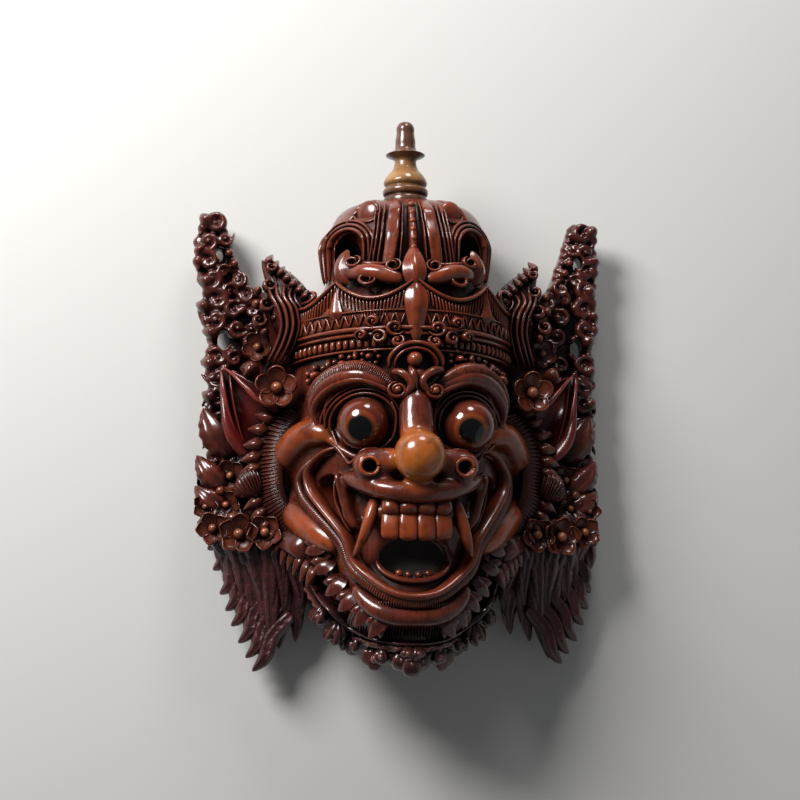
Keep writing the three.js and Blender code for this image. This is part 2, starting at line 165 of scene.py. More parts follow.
def head_block(bm, drawn_in, around, rings):
    """The plain head before carving, or the hollow in it, drawn in by the wall."""
    rows = len(head_rows) - 1
    middle_height = (head_rows[0][0] + head_rows[rows][0]) / 2
    half_height = head_rows[rows][0] - middle_height
    ball = bmesh.ops.create_uvsphere(bm, u_segments=around, v_segments=rings, radius=1)
    for vert in ball["verts"]:
        share = math.acos(min(max(-vert.co.z, -1), 1)) / math.pi
        y, half_width, depth, middle = line_point(head_rows, round(share * rings) / rings)
        angle = math.atan2(vert.co.y, vert.co.x)
        reach = depth - middle if math.sin(angle) > 0 else middle + back_of_section
        is_open = 0 < round(share * rings) < rings
        vert.co = Vector((
            lean_at(y) + math.cos(angle) * max(half_width - drawn_in, 0) * is_open,
            y - (y - middle_height) / half_height * drawn_in,
            middle + math.sin(angle) * max(reach - drawn_in, 0) * is_open,
        ))


def mirrored(half, place=on_head):
    """A line drawn for one side, carried over the middle to the other."""
    left = [place(-x, y, off) for x, y, off in half]
    return left + [place(x, y, off) for x, y, off in reversed(half[:-1])]


def to_object(bm, name):
    bmesh.ops.recalc_face_normals(bm, faces=bm.faces)
    bmesh.ops.scale(bm, vec=(MM, MM, MM), verts=bm.verts)
    mesh = bpy.data.meshes.new(name)
    bm.to_mesh(mesh)
    bm.free()
    piece = bpy.data.objects.new(name, mesh)
    bpy.context.scene.collection.objects.link(piece)
    return piece


def with_modifiers_applied(piece):
    graph = bpy.context.evaluated_depsgraph_get()
    mesh = bpy.data.meshes.new_from_object(piece.evaluated_get(graph))
    piece.modifiers.clear()
    piece.data = mesh
    return piece


def fused(piece, voxel, softened):
    """One skin over overlapping strokes, softened as sanding leaves it."""
    skin = piece.modifiers.new("skin", "REMESH")
    skin.mode = "VOXEL"
    skin.voxel_size = voxel * MM
    sanding = piece.modifiers.new("sanding", "SMOOTH")
    sanding.factor = 0.5
    sanding.iterations = softened
    return with_modifiers_applied(piece)


def plug(bm, spot, size, segments):
    """An oval plug along Z, to cut a hole with."""
    bmesh.ops.create_cone(
        bm, cap_ends=True, segments=segments, radius1=1, radius2=1, depth=1,
        matrix=Matrix.Translation(spot) @ Matrix.Diagonal((*size, 1)),
    )


def cut_away(piece, tool, faces_kept=1.0):
    """Takes the tool's body out of the piece, then thins the faces to the share kept."""
    cutting = piece.modifiers.new("cutting", "BOOLEAN")
    cutting.operation = "DIFFERENCE"
    cutting.solver = "MANIFOLD"
    cutting.object = tool
    if faces_kept < 1:
        piece.modifiers.new("thinned", "DECIMATE").ratio = faces_kept
    with_modifiers_applied(piece)
    bpy.data.objects.remove(tool)


def finished(piece, finish):
    """A piece in its place: smooth, coloured, and part of the one carved block."""
    for face in piece.data.polygons:
        face.use_smooth = True
    piece.data.materials.clear()
    piece.data.materials.append(finish)
    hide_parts("mask")
    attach(piece, "root")


def stained_wood(name, grain_and_shade_dark, body, lit, warm, bright, sheen_low=0.24, sheen_high=0.42,
                 streak=0.4, least_coat=0.02, hairy=False):
    """Hardwood under stain and lacquer: painted shade darkens its recesses, and it is warm and
    bright where rubbed.
    """
    finish = bpy.data.materials.new(name)
    finish.use_nodes = True
    nodes, links = finish.node_tree.nodes, finish.node_tree.links
    shader = nodes["Principled BSDF"]
    shader.inputs["Coat Roughness"].default_value = 0.13
    shader.inputs["Specular IOR Level"].default_value = 0.22
    place = nodes.new("ShaderNodeTexCoord").outputs["Object"]

    def blotches(scale, detail, stretch=(1, 1, 1), where=place):
        turn = nodes.new("ShaderNodeMapping")
        turn.inputs["Scale"].default_value = stretch
        links.new(where, turn.inputs["Vector"])
        spots = nodes.new("ShaderNodeTexNoise")
        spots.inputs["Scale"].default_value = scale
        spots.inputs["Detail"].default_value = detail
        links.new(turn.outputs["Vector"], spots.inputs["Vector"])
        return spots.outputs["Fac"]

    def spread(value, low, high, to_low=0.0, to_high=1.0):
        span = nodes.new("ShaderNodeMapRange")
        for socket, number in (("From Min", low), ("From Max", high),
                               ("To Min", to_low), ("To Max", to_high)):
            span.inputs[socket].default_value = number
        links.new(value, span.inputs["Value"])
        return span.outputs["Result"]

    def blended(share, first, second):
        mix = nodes.new("ShaderNodeMix")
        mix.data_type = "RGBA"
        links.new(share, mix.inputs[0])
        for socket, colour in ((mix.inputs[6], first), (mix.inputs[7], second)):
            if isinstance(colour, tuple):
                socket.default_value = (*colour, 1)
            else:
                links.new(colour, socket)
        return mix.outputs[2]

    grain = blotches(1.0, 5, (420, 26, 420))
    if hairy:
        strands = nodes.new("ShaderNodeAttribute")
        strands.attribute_name = "strand"
        grain = blotches(1.0, 2, (0.75, 0.02, 1), strands.outputs["Vector"])
    wear = nodes.new("ShaderNodeAttribute")
    wear.attribute_name = "rubbed"
    # Painted shade: ambient occlusion pulls the colour toward the darkest one in recesses, creases
    # and gaps between parts, and thins the lacquer coat there. The same dark colour also tints the
    # grain streaks and fine mottling.
    shade = nodes.new("ShaderNodeAmbientOcclusion")
    shade.samples = 6
    shade.inputs["Distance"].default_value = 0.014
    colour = blended(spread(blotches(34, 4), 0.35, 0.7), body, lit)
    colour = blended(spread(grain, 0.42, 0.68, 0, streak), colour, grain_and_shade_dark)
    ridge = nodes.new("ShaderNodeNewGeometry").outputs["Pointiness"]
    colour = blended(spread(ridge, 0.52, 0.6, 0, 0.45), colour, warm)
    colour = blended(spread(wear.outputs["Fac"], 0, 0.5, 0, 0.92), colour, warm)
    colour = blended(spread(wear.outputs["Fac"], 0.5, 1, 0, 0.9), colour, bright)
    colour = blended(spread(blotches(26, 7), 0.46, 0.66, 0, 0.7), colour, body)
    colour = blended(spread(blotches(110, 6), 0.52, 0.74, 0, 0.55), colour, grain_and_shade_dark)
    colour = blended(spread(shade.outputs["AO"], 0.32, 0.9), grain_and_shade_dark, colour)
    links.new(spread(shade.outputs["AO"], 0.4, 0.9, least_coat, 0.6), shader.inputs["Coat Weight"])
    links.new(colour, shader.inputs["Base Color"])
    links.new(spread(blotches(90, 3), 0.3, 0.7, sheen_low, sheen_high), shader.inputs["Roughness"])
    bump = nodes.new("ShaderNodeBump")
    bump.inputs["Strength"].default_value = 0.75 if hairy else 0.3
    bump.inputs["Distance"].default_value = 0.0017 if hairy else 0.0004
    links.new(blended(spread(blotches(240, 3), 0.3, 0.7), (0, 0, 0), grain),
              bump.inputs["Height"])
    links.new(bump.outputs["Normal"], shader.inputs["Normal"])
    return finish


face_wood = stained_wood(
    "face_wood", (0.008, 0.0018, 0.0014), (0.088, 0.0135, 0.0065), (0.17, 0.028, 0.010),
    (0.28, 0.05, 0.010), (0.45, 0.142, 0.018), streak=0.6,
)

mouth_y = -121
mouth_width = 46
mouth_height = 30
window_x = 42
window_y = 95
nose_y = -55
nose_radius = 17.5
eye_places = {-1: -31.5, 1: 36}
eye_y = -30
eye_radius = 18.5
cheek = [(52, -37, 2), (66, -33, 2), (77, -42, 2), (82, -56, 2), (80, -74, 2), (71, -90, 2),
         (58, -103, 2), (46, -113, 2)]
brow = [(12, -9, 3), (21, -3, 4), (31, 2, 5), (41, 2, 5), (51, -2, 4), (58, -9, 3),
        (61, -18, 2), (59, -28, 1)]


def on_side(side, points):
    return [on_head(side * x, y, off) for x, y, off in points]


def nostril(side):
    return on_head(side * 25, -59, 17)


bm = new_carving()
head_block(bm, 0, 96, 80)
stroke(bm, mirrored([(45, -64, 5), (30, -71, 12), (15, -77, 19), (0, -79, 21)]), 15, 20)
stroke(bm, mirrored([(36, -138, 3), (28, -150, 3), (16, -158, 3), (0, -160, 3)]), 15, 18)
stroke(bm, [on_head(x, -91, 5) for x in (-31, 0, 31)], 17, 27)
stroke(bm, on_side(1, [(0, -8, 8), (0, -25, 11), (0, -42, 18), (0, nose_y, 26)]), 24, 22)
button(bm, on_head(0, nose_y, 31), nose_radius, nose_radius, 32, 24)
stroke(bm, on_side(1, [(0, 8, 8), (0, 0, 11), (0, -12, 12)]), 16, 9, leafy)
for side in (-1, 1):
    stroke(bm, on_side(side, cheek), 24, 24, around=20, rings=36)
    stroke(bm, on_side(side, brow), 15, 22)
    stroke(bm, on_side(side, [(46, -64, 5), (43, -78, 4), (40, -92, 3), (35, -102, 2)]), 9, 13)
    stroke(bm, on_side(side, [(55, -36, 1), (45, -47, 2), (34, -53, 3), (24, -49, 4),
                              (16, -44, 4)]), 8, 12)
    stroke(bm, [on_head(side * 6, -57, 16), nostril(side), on_head(side * 34, -60, 5)], 21, 18)
    button(bm, nostril(side) + Vector((side * 1.5, -1, 0)), 11, 12)
mask_head = fused(to_object(bm, "mask_head"), gouging_voxel, 4)

bm = new_carving()
head_block(bm, wall, 64, 60)
bmesh.ops.create_cube(bm, size=1, matrix=Matrix.Translation((0, 0, -50))
                      @ Matrix.Diagonal((400, 480, 100, 1)))
plug(bm, (0, mouth_y, 100), (mouth_width / 2, mouth_height / 2, 80), 40)
for side in (-1, 1):
    plug(bm, (side * window_x, window_y, 80), (9, 14.5, 100), 24)
    stroke(bm, on_side(side, [(57, -63, 3), (54, -80, 3), (46, -96, 3)]), 22, 34)
    button(bm, nostril(side) + Vector((side * 2, -2, 11)), 5, 11)
cut_away(mask_head, fused(to_object(bm, "gouged"), gouging_voxel, 1))
fused(mask_head, sanded_voxel, 2)
for vert in mask_head.data.vertices:
    if vert.co.z < rim_sanded_flat * MM:
        vert.co.z = 0

rubbed_note = mask_head.data.attributes.new("rubbed", "FLOAT", "POINT")
cheek_lines = [[line_point(on_side(side, cheek), i / 14) for i in range(15)] for side in (-1, 1)]
for vert in mask_head.data.vertices:
    spot = vert.co / MM
    share = 0.95 * math.exp(-((spot - on_head(0, nose_y, 31)).length / 23) ** 6)
    if spot.y < -20 and abs(spot.x) > 30:
        away = min((spot - point).length for point in cheek_lines[spot.x > 0])
        share = max(share, 0.62 * math.exp(-(away / 14) ** 4))
    gum = math.exp(-((spot.y + 92) / 11) ** 4 - (spot.x / 30) ** 6) * (spot.z > 100)
    rubbed_note.data[vert.index].value = max(share, 0.25 * gum)
finished(mask_head, face_wood)

# The eyes: balls carved from the same wood and sanded smooth, each with a pupil painted glossy
# black inside an orange-brown ring. Their colour follows the distance from the pupil's middle.
ramp_span = 30
bm = new_carving()
for side in (-1, 1):
    centre = on_head(eye_places[side], eye_y, 5)
    gaze = Vector((-0.27 if side < 0 else -0.04, -0.3, 0.92)).normalized()
    ball = new_carving()
    bmesh.ops.create_uvsphere(ball, u_segments=72, v_segments=56, radius=eye_radius)
    painted = ball.verts.layers.float["rubbed"]
    for vert in ball.verts:
        vert[painted] = vert.co.angle(gaze) * eye_radius / ramp_span
        vert.co += centre
    ball.to_mesh(joint)
    ball.free()
    bm.from_mesh(joint)
eyes = to_object(bm, "eyeballs")
eye_paint = bpy.data.materials.new("eye_paint")
eye_paint.use_nodes = True
nodes, links = eye_paint.node_tree.nodes, eye_paint.node_tree.links
shader = nodes["Principled BSDF"]
shader.inputs["Coat Weight"].default_value = 0.8
shader.inputs["Coat Roughness"].default_value = 0.05
shader.inputs["Specular IOR Level"].default_value = 0.1
from_pupil = nodes.new("ShaderNodeAttribute")
from_pupil.attribute_name = "rubbed"
ring = nodes.new("ShaderNodeValToRGB")
stops = ((0.0, (0.002, 0.002, 0.003)), (0.27, (0.002, 0.002, 0.003)), (0.29, (0.08, 0.018, 0.006)),
         (0.37, (0.22, 0.045, 0.010)), (0.46, (0.11, 0.018, 0.008)), (0.6, (0.15, 0.027, 0.013)),
         (0.9, (0.05, 0.012, 0.008)))
while len(ring.color_ramp.elements) < len(stops):
    ring.color_ramp.elements.new(0.5)
for element, (position, colour) in zip(ring.color_ramp.elements, stops):
    element.position = position
    element.color = (*colour, 1)
links.new(from_pupil.outputs["Fac"], ring.inputs["Fac"])
brush = nodes.new("ShaderNodeTexNoise")
brush.inputs["Scale"].default_value = 160
place = nodes.new("ShaderNodeTexCoord")
links.new(place.outputs["Object"], brush.inputs["Vector"])
streaks = nodes.new("ShaderNodeMix")
streaks.data_type = "RGBA"
streaks.blend_type = "MULTIPLY"
streaks.inputs[0].default_value = 0.55
links.new(ring.outputs["Color"], streaks.inputs[6])
links.new(brush.outputs["Color"], streaks.inputs[7])
links.new(streaks.outputs[2], shader.inputs["Base Color"])
dull = nodes.new("ShaderNodeMapRange")
dull.inputs["To Min"].default_value = 0.12
dull.inputs["To Max"].default_value = 0.3
links.new(brush.outputs["Fac"], dull.inputs["Value"])
links.new(dull.outputs["Result"], shader.inputs["Roughness"])
finished(eyes, eye_paint)

# The lids, brows and forehead: three folds of lid round each eye, hatched brows that end in a
# curl, and the crescent over the nose, cut in the face's wood over its large forms.
bm = new_carving()


def arc_on_head(x, y, off, reach, start, turned_by, steps, side=1, fade=0.0):
    """An arc on the head, from one angle in degrees, or a coil where its reach fades."""
    line = []
    for i in range(steps + 1):
        angle = math.radians(start + turned_by * i / steps)
        size = 1 - fade * i / steps
        line.append(on_head(x + side * math.cos(angle) * reach[0] * size,
                            y + math.sin(angle) * reach[1] * size, off))
    return line


def hatched(count, depth, edge=0.0):
    """A cut for a stroke: notches across it, only past an edge of its width."""
    def cut(share, wide, high):
        notch = 0.5 - 0.5 * math.cos(2 * math.pi * count * share)
        if wide < edge:
            notch = 0
        return wide, high * (1 - depth * notch)
    return cut


for side in (-1, 1):
    for reach, thick in ((20.5, 3.2), (23.4, 2.6), (26.0, 2.2)):
        lid = arc_on_head(eye_places[side], eye_y, 3.5, (reach, reach), 200, -220, 12, side)
        stroke(bm, lid, thick, 9, around=8, rings=48)
    outer_corner = 52 if side < 0 else 59
    socket = [(outer_corner, -31, 3), (outer_corner - 4, -42, 3), (44, -49, 3), (34, -52, 4),
              (22, -48, 5), (13.5, -40, 5), (11.5, -26, 6), (15, -15, 6)]
    stroke(bm, on_side(side, socket), 3, 8, around=8, rings=48)
    upper = [(x + 0.5, y + 4, off + 4.5) for x, y, off in brow]
    stroke(bm, on_side(side, upper), 13, 11, around=12, rings=480, cut=hatched(72, 0.22))
    lower = [(x - 1, y - 3.5, off + 3) for x, y, off in brow]
    stroke(bm, on_side(side, lower), 6, 14, around=12, rings=60)
    inner = [(11, -9, 6), (27, -5, 5), (39, -1, 4), (47, -5, 4), (53, -13, 3), (55, -21, 3),
             (56, -28, 2)]
    stroke(bm, on_side(side, inner), 4, 9, around=10, rings=60)
    curl = arc_on_head(side * 10.5, -9, 12, (5.8, 5.8), 90, 600, 15, fade=0.75)
    stroke(bm, curl, 3.4, 9, around=8, rings=60)
    button(bm, on_head(side * 10.5, -9, 15), 2.6, 2.6, rubbed=0.4)
arch = [(-16, 6), (-15, 14), (-9, 21), (0, 23.5), (9, 21), (15, 14), (16, 6)]
for shrink, thick in ((1.0, 4.2), (0.78, 3.0)):
    stroke(bm, [on_head(x * shrink, 6 + (y - 6) * shrink, 8) for x, y in arch], thick, 10,
           around=10, rings=48)
button(bm, on_head(-1, 12, 10), 5.5, 7, rubbed=0.35)
for leaf in ([(-15, 4, 9), (-8, 2, 13), (-3, -6, 14), (-9, -15, 12)],
             [(17, 6, 9), (9, 4, 13), (3, -3, 14), (8, -12, 12)]):
    stroke(bm, on_side(1, leaf), 6, 8, around=12, rings=30)
stroke(bm, on_side(1, [(-4, 8, 11), (-2, 0, 15), (0, -9, 15)]), 6, 7, leafy, around=12, rings=24)
finished(to_object(bm, "brows_and_lids"), face_wood)

# The nose wings and lips: thin rolls that edge the nostrils, the lips and the gum, and the long
# hatched ribbon that runs from the cheek round the chin.
bm = new_carving()


def forward(point):
    return Vector((0, 0, 1))


def relief(bm, points, *sizes, **cut_as):
    """A stroke that stands straight up from the board, whatever the head's shape is there."""
    stroke(bm, points, *sizes, outward=forward, **cut_as)


def even(share):
    return 1


def tapering(share):
    return math.sqrt(1 - (1 - min(share * 5, 1)) ** 2) * (1 - share) ** 0.6


for side in (-1, 1):
    rim = []
    for step in range(13):
        angle = 2 * math.pi * step / 12
        rim.append(nostril(side) + Vector((side * 1.5 + math.cos(angle) * 6.2,
                                           math.sin(angle) * 5.8 - 2.5, 9.4)))
    relief(bm, rim, 2.8, 3.4, even, around=10, rings=48, rubbed=0.45)
    fold = [(53, -40, 4), (47, -46, 4), (42, -53, 5), (38, -57, 8), (33, -54, 12), (29, -49, 13),
            (21, -48, 12)]
    stroke(bm, on_side(side, fold), 3.2, 8, around=10, rings=48)
    stroke(bm, on_side(side, [(46, -63, 7), (44, -74, 7), (41, -88, 6), (37, -99, 5)]), 6, 10,
           tapering, around=12, rings=36)
    stroke(bm, on_side(side, [(49, -66, 3), (48, -80, 3), (44, -92, 3), (39, -103, 3)]), 3, 8,
           around=10, rings=36)
ribbon = [(49, -46, 2), (57, -48, 3), (64, -53, 3), (69, -62, 3), (66.5, -74, 4), (58, -87, 5),
          (48.5, -99, 6), (41.5, -110, 6), (36, -125, 6), (26, -136, 6), (13, -146, 6),
          (0, -149, 6)]
outer_edge = [(x * 1.045, y - 1.8, off - 1.2) for x, y, off in ribbon]
stroke(bm, mirrored(outer_edge), 9, 9, around=12, rings=1100, cut=hatched(240, 0.2))
stroke(bm, mirrored([(x * 0.945, y + 1.5, off) for x, y, off in ribbon]), 6.5, 13,
       around=14, rings=180, rubbed=0.12)
stroke(bm, mirrored([(47, -61, 5), (39, -66, 8), (28, -66.5, 14), (15, -71.5, 20), (7, -74, 22),
                     (0, -73, 22)]), 3.2, 10, around=10, rings=90)
stroke(bm, mirrored([(19, -84, 16), (12, -84.5, 18), (0, -85, 19)]), 4, 6, around=10, rings=40)
lower_rim = (mouth_width / 2 + 1, mouth_height / 2 + 1)
stroke(bm, arc_on_head(0, mouth_y, 1, lower_rim, 185, 170, 16), 5, 9, around=12, rings=60)
finished(to_object(bm, "lips_and_ribbon"), face_wood)

# The teeth: four blunt front teeth under their gums, a curved fang on each side, and four small
# teeth below, carved with the mouth and rubbed paler than the lips round them.
bm = new_carving()


def squared(share, wide, high):
    bulk = (abs(wide) ** 4 + abs(high) ** 4) ** 0.25
    return wide / bulk * 0.96, high / bulk * 0.96


for x, width in ((-13.6, 13.4), (-4.6, 14), (4.6, 14), (13.6, 13.4)):
    stroke(bm, on_side(1, [(x, -89, 13), (x, -100, 15.5), (x, -111 + abs(x) * 0.08, 14)]),
           width, 11, lambda share: (1 - abs(2 * share - 1) ** 5) ** 0.5, around=24, rings=28,
           rubbed=0.42, cut=squared)
    stroke(bm, on_side(1, [(x, -95, 14), (x, -89, 19.5), (x, -80, 16)]), width - 1, 9,
           around=18, rings=18, rubbed=0.2)
for side in (-1, 1):
    stroke(bm, on_side(side, [(22, -80, 9), (24.5, -96, 15), (28, -110, 15), (34.5, -121, 9)]),
           11, 14, lambda share: tapering(share) ** 0.85, around=16, rings=36, rubbed=0.45)
for x in (-10, -3.5, 3.5, 10):
    button(bm, Vector((x, -133 + abs(x) * 0.15, 105)), 2.9, 2.6, outward=forward, rubbed=0.25)
finished(to_object(bm, "teeth"), face_wood)

# The tiara: a scalloped wall in front of the dome, with a fringe cut under its rolled edge, a
# leaf under each point, a zigzag band, four rails, a row of beads, and curls and rosettes below.
tiara_foot = 33
tiara_end = 1.3
tiara_thick = 6
fringe_lines = 88
teeth_of_band = 32
tiara_beads = 44
bm = new_carving()


def scallop_top(angle):
    return 56 + 14 * (1 - abs(math.sin(2 * math.pi * angle / tiara_end)) ** 0.9)


def on_tiara(angle, y, lift):
    half_width, depth, _ = head_size(tiara_foot)
    return Vector(((half_width + lift) * math.sin(angle), y, (depth + lift) * math.cos(angle)))


def bead_swell(share):
    return (1 - abs(2 * share - 1) ** 7) ** 0.45


def tiara_out(point):
    half_width, depth, _ = head_size(tiara_foot)
    return Vector((point.x / half_width ** 2, 0, point.z / depth ** 2)).normalized()


def tiara_wall(bm, low, high, back, front, steps, rows):
    wall_block = bmesh.ops.create_cube(bm, size=1)
    edges = {edge for vert in wall_block["verts"] for edge in vert.link_edges}
    for axis, cuts in ((0, steps), (1, rows)):
        along = [edge for edge in bm.edges if edge in edges
                 and abs(edge.verts[0].co[axis] - edge.verts[1].co[axis]) > 0.5]
        bmesh.ops.subdivide_edges(bm, edges=along, cuts=cuts, use_grid_fill=True)
        edges = {edge for edge in bm.edges if all(abs(c) < 0.51 for v in edge.verts for c in v.co)}
    for vert in [vert for vert in bm.verts if all(abs(c) < 0.51 for c in vert.co)]:
        angle = vert.co.x * 2 * tiara_end
        y = low + (high(angle) - low) * (vert.co.y + 0.5)
        vert.co = on_tiara(angle, y, front if vert.co.z > 0 else back)


tiara_wall(bm, tiara_foot - 2, scallop_top, -tiara_thick, tiara_thick, 119, 1)
tiara_wall(bm, tiara_foot - 13, lambda angle: tiara_foot, -4, 4, 59, 1)
for peak in range(-2, 2):
    edge = []
    for step in range(13):
        angle = (peak + step / 12) * tiara_end / 2
        edge.append(on_tiara(angle, scallop_top(angle) - 0.6, tiara_thick + 0.4))
    stroke(bm, edge, 3.2, 6.5, around=12, rings=60, outward=tiara_out, rubbed=0.15)
for i in range(1, fringe_lines):
    angle = (i / fringe_lines * 2 - 1) * tiara_end
    top = scallop_top(angle) - 2
    bend = 0.012 * math.sin(4 * math.pi * angle / tiara_end)
    stroke(bm, [on_tiara(angle, top, tiara_thick + 0.3),
                on_tiara(angle + bend, top - 5, tiara_thick + 0.6),
                on_tiara(angle + bend * 2, top - 12, tiara_thick)], 1.6, 3, around=6, rings=9,
           outward=tiara_out)


def ridged(share, wide, high):
    return wide, math.copysign(max(1 - abs(wide), 0.05), high)


def spearhead(share):
    return max(min(share / 0.62, (1 - share) / 0.38), 0)


for side in (-2, -1, 0, 1, 2):
    angle = side * tiara_end / 2 * (0.96 if abs(side) == 2 else 1)
    width, foot, lift = (17, 21, 3.5) if side == 0 else (15, 41, 2)
    stroke(bm, [on_tiara(angle, 67, tiara_thick), on_tiara(angle, 50, tiara_thick + lift * 0.6),
                on_tiara(angle, foot, tiara_thick)], width, 9,
           lambda share: spearhead(share) if side else math.sin(math.pi * share ** 0.8),
           around=16, rings=30, outward=tiara_out, rubbed=0.2 if side == 0 else 0.1, cut=ridged)
for i in range(teeth_of_band):
    left = (i / teeth_of_band * 2 - 1) * tiara_end
    right = ((i + 1) / teeth_of_band * 2 - 1) * tiara_end
    middle = (left + right) / 2
    for start, end in ((left, middle), (right, middle)):
        stroke(bm, [on_tiara(start, 45.5, tiara_thick + 0.2), on_tiara((start + end) / 2, 41, 6.4),
                    on_tiara(end, 36, tiara_thick + 0.2)], 1.7, 3.2, around=6, rings=8,
               outward=tiara_out)
for y, thick, lift in ((46.6, 1.6, 6), (34.4, 3.4, 6.6), (30.6, 3.0, 5.2), (19.8, 2.2, 4.4)):
    rail = [on_tiara((i / 10 - 1) * tiara_end, y, lift) for i in range(21)]
    stroke(bm, rail, thick, 4.6, around=10, rings=90, outward=tiara_out, rubbed=0.1)
for i in range(tiara_beads):
    angle = ((i + 0.5) / tiara_beads * 2 - 1) * tiara_end
    if abs(angle) > 0.2:
        stroke(bm, [on_tiara(angle, 28.3, 3.6), on_tiara(angle, 25, 4.4),
                    on_tiara(angle, 21.5, 3.6)], 3.9, 5.4, bead_swell, around=10, rings=8,
               outward=tiara_out, rubbed=0.15, cut=squared)
for side in (-1, 1):
    for x, y, r in ((60, 6, 8), (44, 11, 8), (28, 15, 7)):
        button(bm, on_head(side * x, y, 5), r * 0.4, 6, rubbed=0.35)
        for petal in range(7):
            angle = petal * 2 * math.pi / 7
            spot = on_head(side * x + math.cos(angle) * r * 0.75, y + math.sin(angle) * r * 0.75, 3)
            button(bm, spot, r * 0.33, 4, 12, 8, rubbed=0.1)
        if x < 60:
            stroke(bm, on_side(side, [(x + 9.5, y + 6, 3), (x + 8, y, 6), (x + 9, y - 6, 3)]),
                   4, 8, leafy, around=8, rings=14)
    for x, y, r, start in ((12.5, 34, 5.5, 200), (22, 28, 5, 20), (25, 39, 4, 250),
                           (11, 25, 4, 90), (32, 30, 3.6, 300)):
        curl = arc_on_head(side * x, y, 8, (r, r), start, 504, 14, side, 14 / 18)
        stroke(bm, curl, 3.6, 8, leafy, around=10, rings=44)
        button(bm, on_head(side * x, y, 9.5), 1.3, 2.4, 10, 8, rubbed=0.5)
finished(to_object(bm, "tiara"), face_wood)

# The crown's dome: three ribs with links between, pleats and arched frames round its windows,
# leaves laid over its shoulders, and curling rolls at its foot.
bm = new_carving()


def crown_rib(x, foot_x, width, lift, height=10):
    line = [on_head(foot_x + (x - foot_x) * i / 6, 70 + 65 * i / 6, lift) for i in range(7)]
    stroke(bm, line, width, height, around=14, rings=48)


def flat_topped(share, wide, high):
    return wide, math.copysign(min(abs(high) * 1.5, 1), high)


crown_rib(0, 0, 7, 2.2, 11)
for side in (-1, 1):
    line = [on_head(side * (17 - 8 * i / 6), 70 + 65 * i / 6, 2.6) for i in range(7)]
    stroke(bm, line, 10, 8, around=20, rings=48, rubbed=0.14, cut=flat_topped)
    crown_rib(side * 4.6, side * 9.3, 1.8, 3)
    for x, foot_x, width in ((15.5, 24.5, 2.6), (18.5, 27.5, 2.2), (21, 29.6, 2)):
        crown_rib(side * x, side * foot_x, width, 1.2, 7)
    for grow, lift, width in ((0, 1.8, 3.2), (3.6, 1.3, 3), (7, 0.8, 2.6)):
        frame_line = [on_head(side * (window_x - 10.5 - grow * 0.8), window_y - 19, lift)]
        frame_line += arc_on_head(side * window_x, window_y + 3, lift,
                                  (10.5 + grow * 0.8, 13.5 + grow), 180, -180, 10, side)
        frame_line.append(on_head(side * (window_x + 10.5 + grow * 0.5), window_y - 19, lift))
        stroke(bm, frame_line, width, 7, around=10, rings=72)
    for reach in range(4):
        shoulder = [(17 + reach * 4, 134 - reach, 0), (30 + reach * 2.5, 131 - reach * 3.4, 1.2),
                    (43 + reach * 1.5, 121 - reach * 4.4, 1)]
        stroke(bm, on_side(side, shoulder), 4.4, 6, leafy, around=10, rings=24)
    button(bm, on_head(side * 29, 122, -0.5), 10, 3.6, 24, 10, rubbed=0.1)
    ring = arc_on_head(side * 29, 122, 1.8, (7.6, 7), 0, 360, 12)
    stroke(bm, ring, 2, 3, even, around=8, rings=36)
    stroke(bm, on_side(side, [(40, 76, 5), (30, 76, 9), (20, 74, 9), (6, 68, 7)]), 12, 12,
           around=18, rings=36, rubbed=0.25)
    stroke(bm, on_side(side, [(38, 84, 5), (28, 82, 7), (18, 81, 6), (9, 84, 5)]), 4, 8,
           leafy, around=10, rings=36)
    for x, y, r in ((27, 70, 5.4), (12, 79, 5), (34, 84, 4.4)):
        curl = arc_on_head(side * x, y, 10, (r, r), 90, 570, 15, side, 0.75)
        stroke(bm, curl, 3, 8, leafy, around=8, rings=48)
    stroke(bm, on_side(side, [(41, 68, 5), (42, 81, 8), (40, 95, 5)]), 15, 9,
           lambda share: math.sin(math.pi * share) ** 0.8, around=20, rings=30, rubbed=0.2,
           cut=ridged)
    button(bm, on_head(side * 66, 66, 6), 7, 7)
    ring = arc_on_head(side * 63, 66, 9, (6, 6), 0, 360, 12)
    stroke(bm, ring, 2.6, 4, even, around=8, rings=36)
for i in range(7):
    button(bm, on_head(0, 86 + i * 6.6, 5.6), 3.1, 3.4, 4, 8, rubbed=0.15)
for i in range(15):
    button(bm, on_head(-15 + i * 0.34, 80 + i * 3.1, 4.6), 1.35, 2, 10, 8, rubbed=0.8)
stroke(bm, on_side(1, [(0, 62, 9), (0, 78, 13), (0, 95, 6)]), 17, 10,
       lambda share: math.sin(math.pi * share ** 0.8), around=20, rings=28, rubbed=0.2, cut=ridged)
finished(to_object(bm, "crown_dome"), face_wood)

# The spire: turned in one piece with the crown, with a bell, a thin flange and a rounded tip,
# rubbed to an ochre by hands that lift the mask by it.
spire_wood = stained_wood(
    "spire_wood", (0.010, 0.003, 0.002), (0.085, 0.030, 0.017), (0.15, 0.062, 0.034),
    (0.20, 0.088, 0.034), (0.34, 0.17, 0.052), sheen_low=0.26, sheen_high=0.42,
)
bm = new_carving()
spire_foot = 132
spire_rise = 64
spire_radius = 16
profile = [
    Vector((r * spire_radius, 0, spire_rise * y)) for r, y in (
        (0.02, 0), (0.9, 0), (1, 0.05), (0.97, 0.1), (0.9, 0.12), (1, 0.15), (1.0, 0.2),
        (0.86, 0.23), (0.98, 0.28), (0.84, 0.36), (0.6, 0.43), (0.5, 0.5), (0.52, 0.56),
        (0.82, 0.6), (0.86, 0.615), (0.56, 0.65), (0.46, 0.7), (0.45, 0.78), (0.4, 0.86),
        (0.4, 0.93), (0.26, 0.985), (0.02, 1),
    )
]
shape = [line_point(profile, i / 90) for i in range(91)]
verts = [bm.verts.new((max(point.x, 0.05), 0, point.z)) for point in shape]
edges = [bm.edges.new(pair) for pair in zip(verts, verts[1:])]
